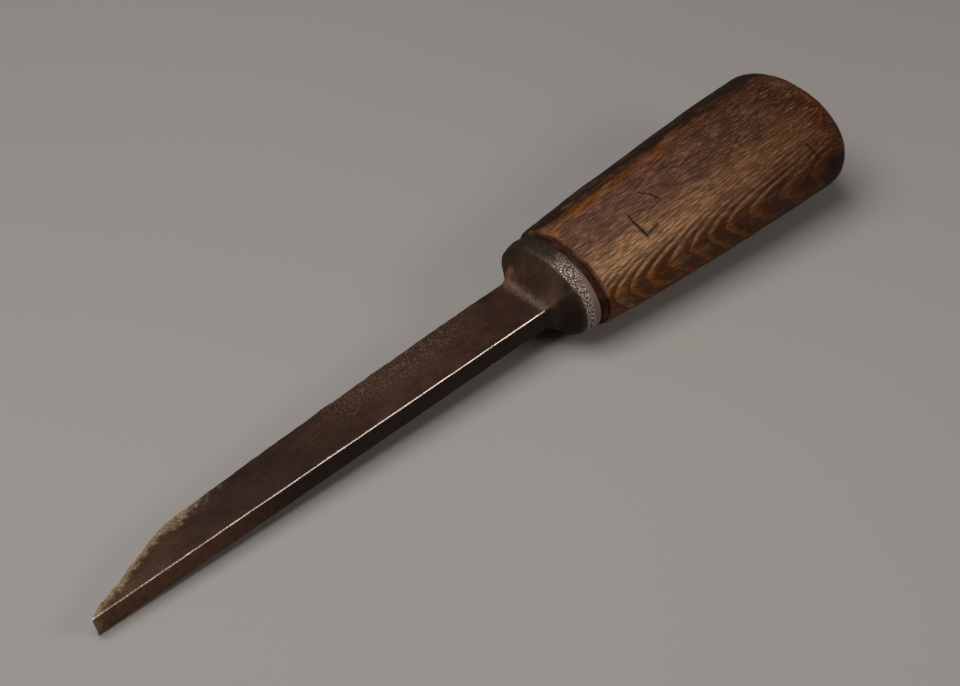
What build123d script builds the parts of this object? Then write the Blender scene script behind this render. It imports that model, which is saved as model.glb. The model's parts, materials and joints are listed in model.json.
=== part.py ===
"""Oval-bolstered mortise chisel, lying on its side.

Each piece is drawn along the tool's own axes and then laid down:
X runs from the cutting edge to the butt, Y from the flat back to the bevel
side, and Z across the width.
"""

from build123d import *
from math import atan2, cos, degrees, pi, radians, sin, sqrt, tan
import os

# Blade
BLADE_LENGTH = 173.0  # cutting edge to the start of the bolster
BACK_WIDTH = 8.0  # width of the flat back, which is the width of the cut
BEVEL_SIDE_WIDTH = 7.3  # the blade is a little narrower there, for clearance
HEEL_DEPTH = 14.3  # back to bevel side, where the bevel ends
ROOT_DEPTH = 18.9  # back to bevel side, at the bolster
BEVEL_SIDE_BOW = 0.8  # rise of the bevel side's gentle curve
BEVEL_LENGTH = 35.5
HONED_LENGTH = 5.2  # short steeper bevel at the cutting edge
HONED_ANGLE = 31.0
HEEL_RADIUS = 26.0
EDGE_SKEW = 1.0  # how far the cutting edge is out of square across the width

# Laid steel, forge-welded along the back of the iron blade
STEEL_THICKNESS = 3.0
STEEL_LENGTH = 150.0
SCARF_LENGTH = 12.0  # the steel's far end is drawn down to a taper

# Bolster
THROAT_LENGTH = 3.0  # hollow curve that leads from the blade into the bolster
THROAT_RISE = 0.9
SLOPE_LENGTH = 6.5  # length of the sloping front
RIM_DEPTH = 40.2  # long axis of the oval rim, along Y
RIM_WIDTH = 29.2  # across the two small flats of the rim, where it is fullest
RIM_FLAT = 8.0  # length along Y of the flat ground on each side of the rim
RIM_CHAMFER = 0.9  # how far the rim's front corner is taken down
CHAMFER_LENGTH = 2.8
RIM_LENGTH = 3.5  # straight part of the rim
RIM_DRAFT = 0.2  # the rim narrows by this much on each side towards the washer
FACET_ANGLE = 42.0  # where each crease from a blade corner meets the oval

# Tang, a tapered square driven into the handle
TANG_ROOT = 9.0
TANG_TIP = 3.6
TANG_LENGTH = 84.0
TANG_END_GAP = 3.0  # space left in the hole past the end of the tang

# Leather washer
WASHER_THICKNESS = 2.7
WASHER_SET_BACK = 0.3  # the leather stands this much inside the handle's front
WASHER_HOLE_GAP = 0.4

# Handle
HANDLE_LENGTH = 112.8
HANDLE_FRONT_DEPTH = 41.8
HANDLE_BACK_DEPTH = 52.2
HANDLE_OVAL = 1.42  # long axis over short axis of the oval
HANDLE_BOW = 0.8  # outward curve of each side between front and back
BUTT_LENGTH = 13.8  # length of the rounded end
BUTT_FULLNESS = 2.33  # 2 is an ellipse, larger is squarer
HANDLE_FRONT_ROUND = 0.6

SAMPLES = 12  # points on the rounded butt's quarter curve

# Stations along the axis
THROAT_START = BLADE_LENGTH - THROAT_LENGTH
RIM_START = BLADE_LENGTH + SLOPE_LENGTH
CHAMFER_END = RIM_START + CHAMFER_LENGTH
SHOULDER = CHAMFER_END + RIM_LENGTH  # flat face that the washer seats on
HANDLE_START = SHOULDER + WASHER_THICKNESS
HANDLE_END = HANDLE_START + HANDLE_LENGTH
BUTT_START = HANDLE_END - BUTT_LENGTH
BACK_Y = -ROOT_DEPTH / 2  # the blade is centred on the axis at its root
EMBED = 1.0  # how far the blade and the tang run on inside the bolster


def width_at(depth):
    """Blade width at a distance from the back."""
    return BACK_WIDTH + (BEVEL_SIDE_WIDTH - BACK_WIDTH) * depth / ROOT_DEPTH


def cross_section(station, corners):
    """Face across the tool through the given (y, z) corners."""
    outline = Polyline(*corners, close=True)
    return Plane.YZ.offset(station) * make_face(outline)


def blade_section(station, grow=0.0):
    """Four-cornered face of the blade at its root, grown outwards by grow."""
    back = BACK_Y - grow
    front = BACK_Y + ROOT_DEPTH + grow
    back_half = BACK_WIDTH / 2 + grow
    front_half = BEVEL_SIDE_WIDTH / 2 + grow
    corners = [(back, -back_half), (front, -front_half), (front, front_half), (back, back_half)]
    return cross_section(station, corners)


def oval_section(station, depth, width):
    """Oval face across the tool, in four arcs that meet where the creases end."""
    flat_turn = 180 - 2 * FACET_ANGLE
    end_turn = 2 * FACET_ANGLE
    arcs = []
    start = 180 + FACET_ANGLE
    for turn in (flat_turn, end_turn, flat_turn, end_turn):
        arcs.append(EllipticalCenterArc((0, 0), depth / 2, width / 2, start, arc_size=turn))
        start += turn
    return Plane.YZ.offset(station) * make_face(Curve() + arcs)


def square_taper(start, end, size, end_size):
    """Tapered square bar along the axis."""
    half = size / 2
    end_half = end_size / 2
    first = [(-half, -half), (half, -half), (half, half), (-half, half)]
    last = [(-end_half, -end_half), (end_half, -end_half), (end_half, end_half), (-end_half, end_half)]
    return loft([cross_section(start, first), cross_section(end, last)], ruled=True)


def blade_outline():
    """Side view of the blade: edge, honed bevel, long bevel, heel, bevel side."""
    edge = (0, BACK_Y)
    honed = (HONED_LENGTH, BACK_Y + HONED_LENGTH * tan(radians(HONED_ANGLE)))
    heel = (BEVEL_LENGTH, BACK_Y + HEEL_DEPTH)
    root = (BLADE_LENGTH, BACK_Y + ROOT_DEPTH)
    middle = ((heel[0] + root[0]) / 2, (heel[1] + root[1]) / 2 + BEVEL_SIDE_BOW)
    buried_front = (BLADE_LENGTH + EMBED, root[1])
    buried_back = (BLADE_LENGTH + EMBED, BACK_Y)
    outline = Curve() + [
        Line(edge, honed),
        Line(honed, heel),
        ThreePointArc(heel, middle, root),
        Line(root, buried_front),
        Line(buried_front, buried_back),
        Line(buried_back, edge),
    ]
    face = make_face(outline)
    heel_corner = face.vertices().sort_by_distance(heel)[0]
    return fillet(heel_corner, HEEL_RADIUS)


def blade_bar():
    """Blade body, skewed at the edge and tapered in width towards the bevel side."""
    slant = Vector(-EDGE_SKEW, 0, BACK_WIDTH)
    low_side = Pos(EDGE_SKEW, 0, -BACK_WIDTH / 2) * blade_outline()
    bar = extrude(low_side, amount=slant.length, dir=slant)
    limit = ROOT_DEPTH + BEVEL_SIDE_BOW + EMBED
    back_half = BACK_WIDTH / 2
    far_half = width_at(limit) / 2
    corners = [
        (BACK_Y, -back_half),
        (BACK_Y + limit, -far_half),
        (BACK_Y + limit, far_half),
        (BACK_Y, back_half),
    ]
    envelope = extrude(cross_section(-EMBED, corners), BLADE_LENGTH + 2 * EMBED)
    return bar & envelope


def steel_zone():
    """Block that holds the laid steel, with its far end scarfed."""
    inner = BACK_Y + STEEL_THICKNESS
    outside = BACK_Y - EMBED
    points = [
        (-EMBED, outside),
        (STEEL_LENGTH, outside),
        (STEEL_LENGTH, BACK_Y),
        (STEEL_LENGTH - SCARF_LENGTH, inner),
        (-EMBED, inner),
    ]
    face = make_face(Polyline(*points, close=True))
    return Pos(0, 0, -BACK_WIDTH) * extrude(face, 2 * BACK_WIDTH)


def low_line(station):
    """Reach from the axis, across the width, of a line from the tip's corner to the rim's flat."""
    slope = (RIM_WIDTH - BACK_WIDTH) / 2 / (CHAMFER_END - EDGE_SKEW)
    return BACK_WIDTH / 2 + slope * (station - EDGE_SKEW)


def between_flats():
    """Block whose sides are the rim's flats; the tool lies on one of them and its tip."""
    near = low_line(THROAT_START)
    far = low_line(SHOULDER)
    points = [(THROAT_START, -near), (SHOULDER, -far), (SHOULDER, far), (THROAT_START, near)]
    face = Plane.XZ * make_face(Polyline(*points, close=True))
    return extrude(face, RIM_DEPTH, both=True)


def bolster():
    """Throat, sloping front and chamfered oval rim with a small flat on each side."""
    full_width = RIM_WIDTH / sqrt(1 - (RIM_FLAT / RIM_DEPTH) ** 2)
    rim_front = oval_section(RIM_START, RIM_DEPTH - 2 * RIM_CHAMFER, full_width - 2 * RIM_CHAMFER)
    rim_full = oval_section(CHAMFER_END, RIM_DEPTH, full_width)
    rim_back = oval_section(SHOULDER, RIM_DEPTH - 2 * RIM_DRAFT, full_width - 2 * RIM_DRAFT)
    throat = loft([blade_section(THROAT_START), blade_section(BLADE_LENGTH, THROAT_RISE)], ruled=True)
    slope = loft([blade_section(BLADE_LENGTH, THROAT_RISE), rim_front], ruled=True)
    chamfer = loft([rim_front, rim_full], ruled=True)
    rim = loft([rim_full, rim_back], ruled=True)
    return (throat + slope + chamfer + rim) & between_flats()


def tang():
    return square_taper(SHOULDER - EMBED, SHOULDER + TANG_LENGTH, TANG_ROOT, TANG_TIP)


def tang_size_at(distance):
    """Side of the square tang at a distance past the shoulder."""
    share = (distance + EMBED) / (TANG_LENGTH + EMBED)
    return TANG_ROOT + (TANG_TIP - TANG_ROOT) * share


def iron_blade():
    """Wrought-iron forging: blade body, bolster and tang, less the laid steel."""
    forging = (blade_bar() - steel_zone()) + bolster() + tang()
    return forging.clean()


def laid_steel():
    return blade_bar() & steel_zone()


def leather_washer():
    depth = HANDLE_FRONT_DEPTH - 2 * WASHER_SET_BACK
    width = HANDLE_FRONT_DEPTH / HANDLE_OVAL - 2 * WASHER_SET_BACK
    disc = extrude(oval_section(SHOULDER, depth, width), WASHER_THICKNESS)
    hole_side = tang_size_at(0) + WASHER_HOLE_GAP
    hole = Plane.YZ.offset(SHOULDER) * Rectangle(hole_side, hole_side)
    return disc - extrude(hole, WASHER_THICKNESS)


def handle_half_outline():
    """Half of the handle's plan, to be turned about the axis."""
    front = HANDLE_FRONT_DEPTH / 2
    back = HANDLE_BACK_DEPTH / 2
    middle = ((HANDLE_START + BUTT_START) / 2, (front + back) / 2 + HANDLE_BOW)
    power = 2 / BUTT_FULLNESS
    turns = [0.5 * pi * step / SAMPLES for step in range(SAMPLES)]
    butt = [
        (BUTT_START + BUTT_LENGTH * sin(turn) ** power, back * cos(turn) ** power)
        for turn in turns
    ]
    butt.append((HANDLE_END, 0))
    start = (HANDLE_START, 0)
    shoulder = (HANDLE_START, front - HANDLE_FRONT_ROUND)
    side = (HANDLE_START + HANDLE_FRONT_ROUND, front)
    outline = Curve() + [
        Line(start, shoulder),
        Line(shoulder, side),
        ThreePointArc(side, middle, butt[0]),
        Spline(*butt, tangents=((1, 0), (0, -1))),
        Line(butt[-1], start),
    ]
    return make_face(outline)


def handle():
    """Oval handle with a rounded butt and a tapered square hole for the tang."""
    turned = revolve(handle_half_outline(), Axis.X, 360)
    oval = scale(turned, by=(1, 1, 1 / HANDLE_OVAL))
    depth_of_hole = TANG_LENGTH - WASHER_THICKNESS
    hole = square_taper(
        HANDLE_START, HANDLE_START + depth_of_hole, tang_size_at(WASHER_THICKNESS), TANG_TIP
    )
    hole_end = Plane.YZ.offset(HANDLE_START + depth_of_hole) * Rectangle(TANG_TIP, TANG_TIP)
    return oval - hole - extrude(hole_end, TANG_END_GAP)


def resting_tilt():
    """Angle of the axis above the floor when the tip and the next lowest point touch it."""
    low_points = [
        (CHAMFER_END, RIM_WIDTH / 2),
        (HANDLE_START + HANDLE_FRONT_ROUND, HANDLE_FRONT_DEPTH / HANDLE_OVAL / 2),
        (BUTT_START, HANDLE_BACK_DEPTH / HANDLE_OVAL / 2),
    ]
    slopes = [
        atan2(reach - BACK_WIDTH / 2, station - EDGE_SKEW) for station, reach in low_points
    ]
    return degrees(max(slopes))


def lay_down(pieces):
    """Tilt every piece onto the floor and centre the whole on the origin."""
    tilted = {name: Rot(0, -resting_tilt(), 0) * piece for name, piece in pieces.items()}
    box = Compound(children=[Compound(piece.wrapped) for piece in tilted.values()]).bounding_box()
    centre = box.center()
    shift = Pos(-centre.X, -centre.Y, -box.min.Z)
    return {name: shift * piece for name, piece in tilted.items()}


pieces = {
    "iron_blade": iron_blade(),
    "laid_steel": laid_steel(),
    "leather_washer": leather_washer(),
    "handle": handle(),
}

os.makedirs("parts", exist_ok=True)
for name, piece in lay_down(pieces).items():
    export_step(piece, f"parts/{name}.step")
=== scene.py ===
"""An old oval-bolstered mortise chisel, lying on its side.

Pieces are shaped along the tool's own axes in millimetres, X from the cutting
edge to the butt, Y from the flat back to the bevel side, Z across the width,
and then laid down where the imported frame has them.
"""

import json
from math import atan2, ceil, cos, exp, hypot, pi, radians, sin, sqrt, tan

import bmesh
import bpy
from mathutils import Matrix, Vector, noise


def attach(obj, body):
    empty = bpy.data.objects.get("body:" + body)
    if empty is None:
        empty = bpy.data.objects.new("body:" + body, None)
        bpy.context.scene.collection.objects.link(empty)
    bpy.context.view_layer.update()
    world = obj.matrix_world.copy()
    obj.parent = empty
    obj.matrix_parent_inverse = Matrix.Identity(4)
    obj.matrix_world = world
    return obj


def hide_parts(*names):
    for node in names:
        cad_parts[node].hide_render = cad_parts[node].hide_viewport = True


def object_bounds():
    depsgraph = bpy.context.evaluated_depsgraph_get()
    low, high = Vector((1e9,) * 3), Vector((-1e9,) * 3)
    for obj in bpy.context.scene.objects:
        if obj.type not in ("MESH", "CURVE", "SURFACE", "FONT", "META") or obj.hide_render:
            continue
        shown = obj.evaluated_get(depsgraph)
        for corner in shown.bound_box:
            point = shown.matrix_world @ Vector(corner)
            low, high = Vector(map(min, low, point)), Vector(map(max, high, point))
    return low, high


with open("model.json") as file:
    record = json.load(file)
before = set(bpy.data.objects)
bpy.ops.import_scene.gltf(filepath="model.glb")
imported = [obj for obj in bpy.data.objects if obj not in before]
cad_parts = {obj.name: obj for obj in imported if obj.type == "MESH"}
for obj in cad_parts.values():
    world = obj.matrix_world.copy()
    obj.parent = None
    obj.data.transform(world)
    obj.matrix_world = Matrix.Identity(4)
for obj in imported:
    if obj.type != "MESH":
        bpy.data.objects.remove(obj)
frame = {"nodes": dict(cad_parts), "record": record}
cad_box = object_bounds()

MM = 0.001

# Sizes that the frame's boxes don't give, in millimetres, and angles in radians
BLADE_LENGTH = 173.0
BEVEL_SIDE_HALF = 3.65
HEEL_DEPTH = 14.3
ROOT_DEPTH = 18.9
BEVEL_SIDE_BOW = 0.8
BEVEL_LENGTH = 35.5
HONED_LENGTH = 5.2
HONED_ANGLE = radians(31)
EDGE_SKEW = 1.0
SCARF_LENGTH = 12.0
THROAT_START = 170.0
RIM_START = 179.5
RIM_CHAMFER = 0.9
CHAMFER_END = 182.3
RIM_ROUND_END = 183.7
RIM_LEAN = 1.1
ROOT_SOFTNESS = 0.2
RIM_DRAFT = 0.2
RIM_FLAT = 8.0
RIM_HALF_WIDTH = 14.6
CREASE_ANGLE = radians(42)
FAR_CREASE_ANGLE = radians(54)
TANG_HALF = 4.5
TANG_TIP_HALF = 1.8
TANG_END_GAP = 3.0
WASHER_HOLE_GAP = 0.2
HANDLE_FRONT_HALF = 20.9
HANDLE_OVAL = 1.42
HANDLE_BOW = 0.8
BUTT_LENGTH = 13.8
BUTT_FULLNESS = 2.33

# Growth layers of the wood: thickness, rise along the length, and how they bend
GROWTH_LAYER = 0.78
GRAIN_RUN_OUT = 0.03
RING_CURVE = 6.0
RING_SLOPE = 0.42

# Punched grains per millimetre of the rim, drawn a little coarser than they are
STIPPLE_GRAINS = 1.65

# ---------------------------------------------------------------- placing


def lay_of_the_tool():
    """Matrix from the tool's own axes, in millimetres, to where it lies."""
    side = next(m for m in frame["record"]["mounts"] if m["name"] == "blade_side")
    tilt = atan2(side["axis"][0], -side["axis"][2])
    turn = Matrix.Rotation(-tilt, 4, "Y")
    straight = [turn.inverted() @ v.co for v in frame["nodes"]["laid_steel"].data.vertices]
    edge = min(p.x for p in straight)
    middle = (min(p.z for p in straight) + max(p.z for p in straight)) / 2
    return turn @ Matrix.Translation((edge, 0, middle)) @ Matrix.Scale(MM, 4), tilt


LAY, TILT = lay_of_the_tool()


def tool_box(node):
    """Lowest and highest corners of a frame node along the tool's own axes."""
    back = LAY.inverted()
    points = [back @ v.co for v in frame["nodes"][node].data.vertices]
    low = Vector(min(p[i] for p in points) for i in range(3))
    high = Vector(max(p[i] for p in points) for i in range(3))
    return low, high


steel_low, steel_high = tool_box("laid_steel")
iron_high = tool_box("iron_blade")[1]
washer_low, washer_high = tool_box("leather_washer")
handle_low, handle_high = tool_box("handle")

BACK = steel_low.y
BACK_HALF = steel_high.z
STEEL_DEPTH = steel_high.y - steel_low.y
STEEL_END = steel_high.x
SHOULDER = washer_low.x
HANDLE_START = handle_low.x
HANDLE_END = handle_high.x
BUTT_START = HANDLE_END - BUTT_LENGTH
TANG_END = iron_high.x

# ---------------------------------------------------------------- mesh tools


def spread(start, end, step):
    """Values from start to end, no further apart than step."""
    count = max(1, ceil(abs(end - start) / step - 1e-6))
    return [start + (end - start) * i / count for i in range(count + 1)]


def rings_to_mesh(name, rings, closed=False, change=None):
    """Mesh piece through rings of points; ends are capped unless it closes on itself."""
    mesh = bmesh.new()
    rows = [[mesh.verts.new(p) for p in ring] for ring in rings]
    pairs = list(zip(rows, rows[1:]))
    if closed:
        pairs.append((rows[-1], rows[0]))
    size = len(rows[0])
    for near, far in pairs:
        for i in range(size):
            j = (i + 1) % size
            mesh.faces.new((near[i], near[j], far[j], far[i]))
    if not closed:
        mesh.faces.new(list(reversed(rows[0])))
        mesh.faces.new(rows[-1])
    bmesh.ops.recalc_face_normals(mesh, faces=mesh.faces)
    if change:
        change(mesh)
    data = bpy.data.meshes.new(name)
    mesh.to_mesh(data)
    mesh.free()
    piece = bpy.data.objects.new(name, data)
    bpy.context.scene.collection.objects.link(piece)
    return piece


def push_out(piece, rule):
    """Moves each point along its normal by rule(point), in millimetres."""
    data = piece.data
    normals = [Vector(n.vector) for n in data.vertex_normals]
    moves = [rule(v.co, n) for v, n in zip(data.vertices, normals)]
    for vertex, normal, move in zip(data.vertices, normals, moves):
        vertex.co += normal * move


def paint(piece, name, rule):
    """Stores rule(point, normal) on each point, for the material to read."""
    layer = piece.data.attributes.new(name, "FLOAT", "POINT")
    normals = [Vector(n.vector) for n in piece.data.vertex_normals]
    for vertex, normal in zip(piece.data.vertices, normals):
        layer.data[vertex.index].value = rule(vertex.co, normal)


def finish_piece(piece, material, slot, *nodes, sharp=30):
    """Lays a piece down in the frame, gives it its material, attaches it to the root body and hides the
    frame nodes that it stands for.
    """
    piece.data.transform(LAY)
    piece.data.shade_smooth()
    piece.data.set_sharp_from_angle(angle=radians(sharp))
    piece.data.materials.append(material)
    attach(piece, "root")
    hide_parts(*nodes)


def rough(point, size, octaves=3, seed=0.0):
    """Smooth noise from -1 to 1 with features about size millimetres across."""
    shifted = Vector(point) / size + Vector((seed, seed * 1.7, seed * 0.6))
    return noise.fractal(shifted, 0.6, 2.0, octaves, noise_basis="PERLIN_ORIGINAL")


def bump_at(value, centre, width):
    """Bell curve, 1 at the centre and near 0 at twice the width from it."""
    return exp(-((value - centre) / width) ** 2)


def smooth_step(value, low, high):
    """Smooth rise from 0 at low to 1 at high."""
    share = min(1.0, max(0.0, (value - low) / (high - low)))
    return share * share * (3 - 2 * share)


# ---------------------------------------------------------------- blade

# A chip in the bevel, and how soft the heel is
NICK_AT = 13.0
NICK_DEPTH = 0.6
NICK_WIDTH = 1.9
BEVEL_CROWN = 0.35
HEEL_SOFTNESS = 0.5


def blade_depth(x):
    """Back to bevel side: honed bevel, long worn bevel, rounded heel, bowed side."""
    honed_slope = tan(HONED_ANGLE)
    honed_depth = HONED_LENGTH * honed_slope
    bevel_slope = (HEEL_DEPTH - honed_depth) / (BEVEL_LENGTH - HONED_LENGTH)
    crown = BEVEL_CROWN * sin(pi * smooth_step(x, NICK_AT + 2, BEVEL_LENGTH + 4))
    bevel = honed_depth + bevel_slope * (x - HONED_LENGTH) + crown
    share = max(0.0, (x - BEVEL_LENGTH) / (BLADE_LENGTH - BEVEL_LENGTH))
    slope = (ROOT_DEPTH - HEEL_DEPTH) / (BLADE_LENGTH - BEVEL_LENGTH)
    side = HEEL_DEPTH + slope * (x - BEVEL_LENGTH) + 4 * BEVEL_SIDE_BOW * share * (1 - share)
    nick = NICK_DEPTH * bump_at(x, NICK_AT, NICK_WIDTH)
    return min(x * honed_slope, soft_least(bevel - nick, side, HEEL_SOFTNESS))


def soft_least(a, b, softness):
    """The lesser of two, going smoothly from one to the other."""
    gap = (a - b) / softness
    return b + softness * (gap - sqrt(gap * gap + 1)) / 2


def half_width(depth):
    """Half of the blade's width at a depth from its back."""
    return BACK_HALF + (BEVEL_SIDE_HALF - BACK_HALF) * depth / ROOT_DEPTH


# Points across the back and the sides, and how the bar's corners meet the rim
BACK_STEPS = 14
SIDE_STEPS = 40
CORNER_TURNS = (pi + CREASE_ANGLE, pi - CREASE_ANGLE, FAR_CREASE_ANGLE, -FAR_CREASE_ANGLE)
CROWN_SHARE = 0.42
EDGE_STEP = 0.13


def bar_ring(x, near, far, radii):
    """Section of the bar between two depths, with its four corners rounded."""
    near_half = half_width(near)
    far_half = half_width(far)
    y0 = BACK + near
    y1 = BACK + far
    corners = [(y0, -near_half), (y0, near_half), (y1, far_half), (y1, -far_half)]
    limit = 0.4 * min(far - near, 2 * near_half)
    radii = [min(r, limit) for r in radii]
    points = []
    for i, steps in enumerate((BACK_STEPS, SIDE_STEPS, BACK_STEPS, SIDE_STEPS)):
        j = (i + 1) % 4
        start = Vector(corners[i])
        end = Vector(corners[j])
        run = (end - start).normalized()
        turn = (Vector(corners[(j + 1) % 4]) - end).normalized()
        first = start + run * radii[i]
        last = end - run * radii[j]
        close = min(EDGE_STEP / (last - first).length, 1 / steps)
        shares = [0.0] + spread(close, 1 - close, (1 - 2 * close) / (steps - 2)) + [1.0]
        points += [first.lerp(last, share) for share in shares]
        points.append(end - (run - turn) * radii[j] * CROWN_SHARE)
    skew = EDGE_SKEW * (1 - smooth_step(x, 60, 160))
    return [Vector((x + skew * (0.5 - z / (2 * BACK_HALF)), y, z)) for y, z in points]


def oval_turns():
    """Angle round the rim's oval for each point of a bar ring."""
    turns = []
    for i, steps in enumerate((BACK_STEPS, SIDE_STEPS, BACK_STEPS, SIDE_STEPS)):
        start = CORNER_TURNS[i]
        end = CORNER_TURNS[(i + 1) % 4]
        if end > start:
            end -= 2 * pi
        turns += [start + (end - start) * (s + 0.5) / (steps + 2) for s in range(steps + 1)]
        turns.append(end)
    return turns


def rim_ring(x, shrink, lean=0.0):
    """Oval of the rim, with the same small flat on each side as the frame has."""
    full = RIM_HALF_WIDTH / sqrt(1 - (RIM_FLAT / 2 / iron_high.y) ** 2)
    slope = (RIM_HALF_WIDTH - BACK_HALF) / (CHAMFER_END - EDGE_SKEW)
    flat = BACK_HALF + slope * (x - EDGE_SKEW)
    ring = []
    for turn in oval_turns():
        y = (iron_high.y - shrink) * cos(turn)
        z = (full - shrink) * sin(turn)
        forward = lean * smooth_step(-y, 4, iron_high.y)
        ring.append(Vector((x + forward, y, max(-flat, min(flat, z)))))
    return ring


def square_ring(x, half, turns):
    """Square section of the tang or its hole, with a point for each of the given angles."""
    ring = []
    for turn in turns:
        reach = half / max(abs(cos(turn)), abs(sin(turn)))
        ring.append(Vector((x, reach * cos(turn), reach * sin(turn))))
    return ring


def arris_radius(x, seed, size, change):
    """Radius of a worn corner, which changes along the blade."""
    return max(0.06, size + change * noise.noise(Vector((x * 0.35, seed, 0.5))))


def back_radius(x):
    """Radius of the two corners beside the flat back."""
    return arris_radius(x, 1.9, 0.23, 0.06)


def iron_near(x):
    """Depth at which the iron starts: behind the laid steel, and past its scarfed end."""
    return STEEL_DEPTH * min(1.0, max(0.0, (STEEL_END - x) / SCARF_LENGTH))


def iron_radii(x):
    """Corners of the iron's section: square where it meets the steel, worn elsewhere."""
    back = 0.02 + back_radius(x) * smooth_step(x, STEEL_END - 4, STEEL_END + 2)
    return back, back, arris_radius(x, 7.1, 0.5, 0.3), arris_radius(x, 3.3, 0.5, 0.3)


def wear_blade(piece):
    """Gives the ground faces the shallow waves, pits and dings of long use.

    The same rule moves the iron and the steel, so that they stay joined.
    """
    for vertex in piece.data.vertices:
        x, y, z = vertex.co
        side = 40 if z > 0 else 90
        fade = smooth_step(x, 1, 10) * (1 - smooth_step(x, THROAT_START, RIM_START))
        waves = 0.06 * rough((x * 0.5, y, side), 9) + 0.012 * rough((x, y, side), 1.6, 2)
        pits = 0.10 * rust_patch(vertex.co) * max(0.0, rough((x, y, side), 1.2, 2, seed=9) - 0.05)
        faces = 0.05 * rough((x, z, 130), 12) - 0.04
        dings = 0.08 * max(0.0, rough((x, 0, side), 4.0, 2, seed=7) - 0.25)
        near_back = 1 - smooth_step(y - BACK, 0.1, 0.7)
        depth = max(0.5, blade_depth(x))
        across = 2 * (y - BACK) / depth - 1
        half = half_width(y - BACK)
        on_bevel = smooth_step(x, 2, 6) * (1 - smooth_step(x, BEVEL_LENGTH + 6, BEVEL_LENGTH + 26))
        lumps = 0.22 * rough((x, z * 0.5, 150), 3.2, 3) * on_bevel * smooth_step(across, 0.5, 1)
        vertex.co.z += z / half * (waves - pits - 0.06 - dings * near_back) * fade
        vertex.co.y += (across * faces + lumps) * fade


def nick_edge(piece):
    """Wears the cutting edge unevenly."""
    for vertex in piece.data.vertices:
        x, y, z = vertex.co
        reach = 1 - smooth_step(x, 0.2, 2.5)
        vertex.co.x += reach * abs(0.28 * rough((0, y, z), 2.2, 2, seed=5))


def soften_slope(mesh):
    """Rounds the forged hips between the blade and the rim."""
    slope = [v for v in mesh.verts if THROAT_START - 1 < v.co.x < RIM_START - 0.25]
    inside = [v for v in slope if len(v.link_faces) == 4]
    axes = {"use_axis_x": True, "use_axis_y": True, "use_axis_z": True}
    for _ in range(2):
        bmesh.ops.smooth_vert(mesh, verts=inside, factor=0.5, **axes)


def build_iron():
    """Blade body, bolster and tang as one closed skin."""
    start = next(x for x in spread(0, 20, 0.05) if blade_depth(x) > STEEL_DEPTH + 0.06)
    stations = spread(start, 20, 0.3) + spread(20, THROAT_START, 0.5)[1:]
    rings = [bar_ring(x, iron_near(x), blade_depth(x), iron_radii(x)) for x in stations]
    front = rim_ring(RIM_START, RIM_CHAMFER, RIM_LEAN)
    slope_start = BLADE_LENGTH - 0.6

    def climb(x):
        share = (x - slope_start) / (RIM_START - slope_start)
        return (share + sqrt(share * share + ROOT_SOFTNESS**2)) / 2

    base = climb(THROAT_START)
    top = climb(RIM_START)
    for x in spread(THROAT_START, RIM_START, 0.3)[1:]:
        share = (climb(x) - base) / (top - base)
        section = bar_ring(x, 0.0, ROOT_DEPTH, iron_radii(x))
        along = smooth_step(x, THROAT_START, RIM_START)
        oval = [Vector((x + (q.x - RIM_START) * along, q.y, q.z)) for q in front]
        rings.append([p.lerp(q, share) for p, q in zip(section, oval)])
    rings[-1] = front
    for share in spread(0, 1, 0.1)[1:]:
        x = RIM_START + (RIM_ROUND_END - RIM_START) * share
        rings.append(rim_ring(x, RIM_CHAMFER * (1 - share) ** 1.5, RIM_LEAN * (1 - share)))
    for x in spread(RIM_ROUND_END, SHOULDER - 0.4, 0.4)[1:]:
        rings.append(rim_ring(x, RIM_DRAFT * (x - RIM_ROUND_END) / (SHOULDER - RIM_ROUND_END)))
    for back, drop in ((0.2, 0.08), (0.08, 0.2), (0.0, 0.4)):
        rings.append(rim_ring(SHOULDER - back, RIM_DRAFT + drop))
    turns = oval_turns()
    rings.append(square_ring(SHOULDER, TANG_HALF, turns))
    rings.append(square_ring(TANG_END, TANG_TIP_HALF, turns))
    piece = rings_to_mesh("forged_blade_and_bolster", rings, change=soften_slope)
    paint(piece, "bare", iron_bare)
    wear_blade(piece)

    def rule(point, normal):
        on_bolster = smooth_step(point.x, THROAT_START, RIM_START)
        on_rim = smooth_step(point.x, RIM_START - 1, RIM_START + 1)
        if point.x > SHOULDER - 0.01:
            return 0.0
        dents = 0.12 * rough(point, 6, 2, seed=2) + 0.05 * rough(point, 2.2, 2, seed=12)
        return on_bolster * (dents - 0.1) + 0.05 * on_rim * rough(point, 1.1, 2, seed=21)

    push_out(piece, rule)
    paint(piece, "rust", lambda point, normal: rust_patch(point))
    paint(piece, "grime", iron_grime)
    paint(piece, "stipple_and_glint", rim_stipple_and_glint)
    paint(piece, "amber", iron_rust_and_highlight)
    paint(piece, "black", iron_scale_and_shade)
    paint(piece, "rubbed_and_lit", iron_rubbed)
    finish_piece(piece, patina("forged_iron_patina"), "forged_iron", "iron_blade", sharp=34)


def rust_patch(point):
    """Freckled rust along the bevel side, in the blade's upper half."""
    along = smooth_step(point.x, 84, 108) * (1 - smooth_step(point.x, 136, 162))
    return along * smooth_step(point.y - BACK, 4, 14)


def iron_bare(point, normal):
    """How far the brown skin is worn off to bright metal."""
    if point.x > BLADE_LENGTH:
        edge = bump_at(point.x, RIM_START + 0.5 + RIM_LEAN * smooth_step(-point.y, 4, 20), 1.0)
        return 0.36 * edge * (0.4 + 0.6 * smooth_step(-point.y, -6, 8))
    to_far_edge = BACK + blade_depth(point.x) - point.y
    near_edge = 1 - smooth_step(abs(to_far_edge), 0.1, 0.9)
    outer = smooth_step(abs(point.z), BACK_HALF - 0.55, BACK_HALF - 0.2)
    return max(back_arris(point), 0.3 * outer * near_edge)


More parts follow.
